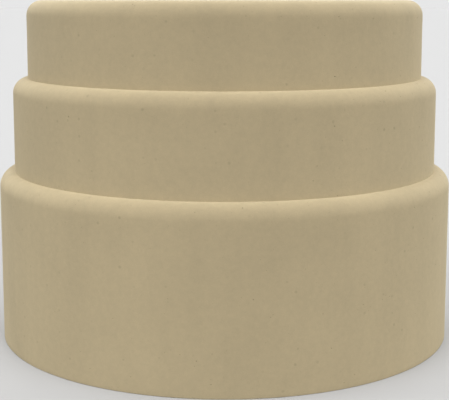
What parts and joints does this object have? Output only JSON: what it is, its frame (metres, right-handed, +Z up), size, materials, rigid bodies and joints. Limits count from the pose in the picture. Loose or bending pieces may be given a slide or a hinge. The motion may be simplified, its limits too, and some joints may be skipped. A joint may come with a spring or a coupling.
{
  "type": "column base",
  "caption": "Round stepped column base in buff cast stone: tiers set back one above another, each with a quarter-round nose, under a flat seat for the shaft.",
  "frame": {"origin": "centre of the bed, the flat round underside", "axes": "+Z up along the axis of the tiers, towards the column seat; X and Y are level and equivalent, because the base is round"},
  "size_m": [0.6099, 0.61, 0.45],
  "materials": {
    "cast_stone": "matte buff cast stone, smooth from the mould, with fine grain, faint clouding and small pinholes"
  },
  "bodies": {
    "root": {"column_base": "cast_stone"}
  },
  "joints": []
}
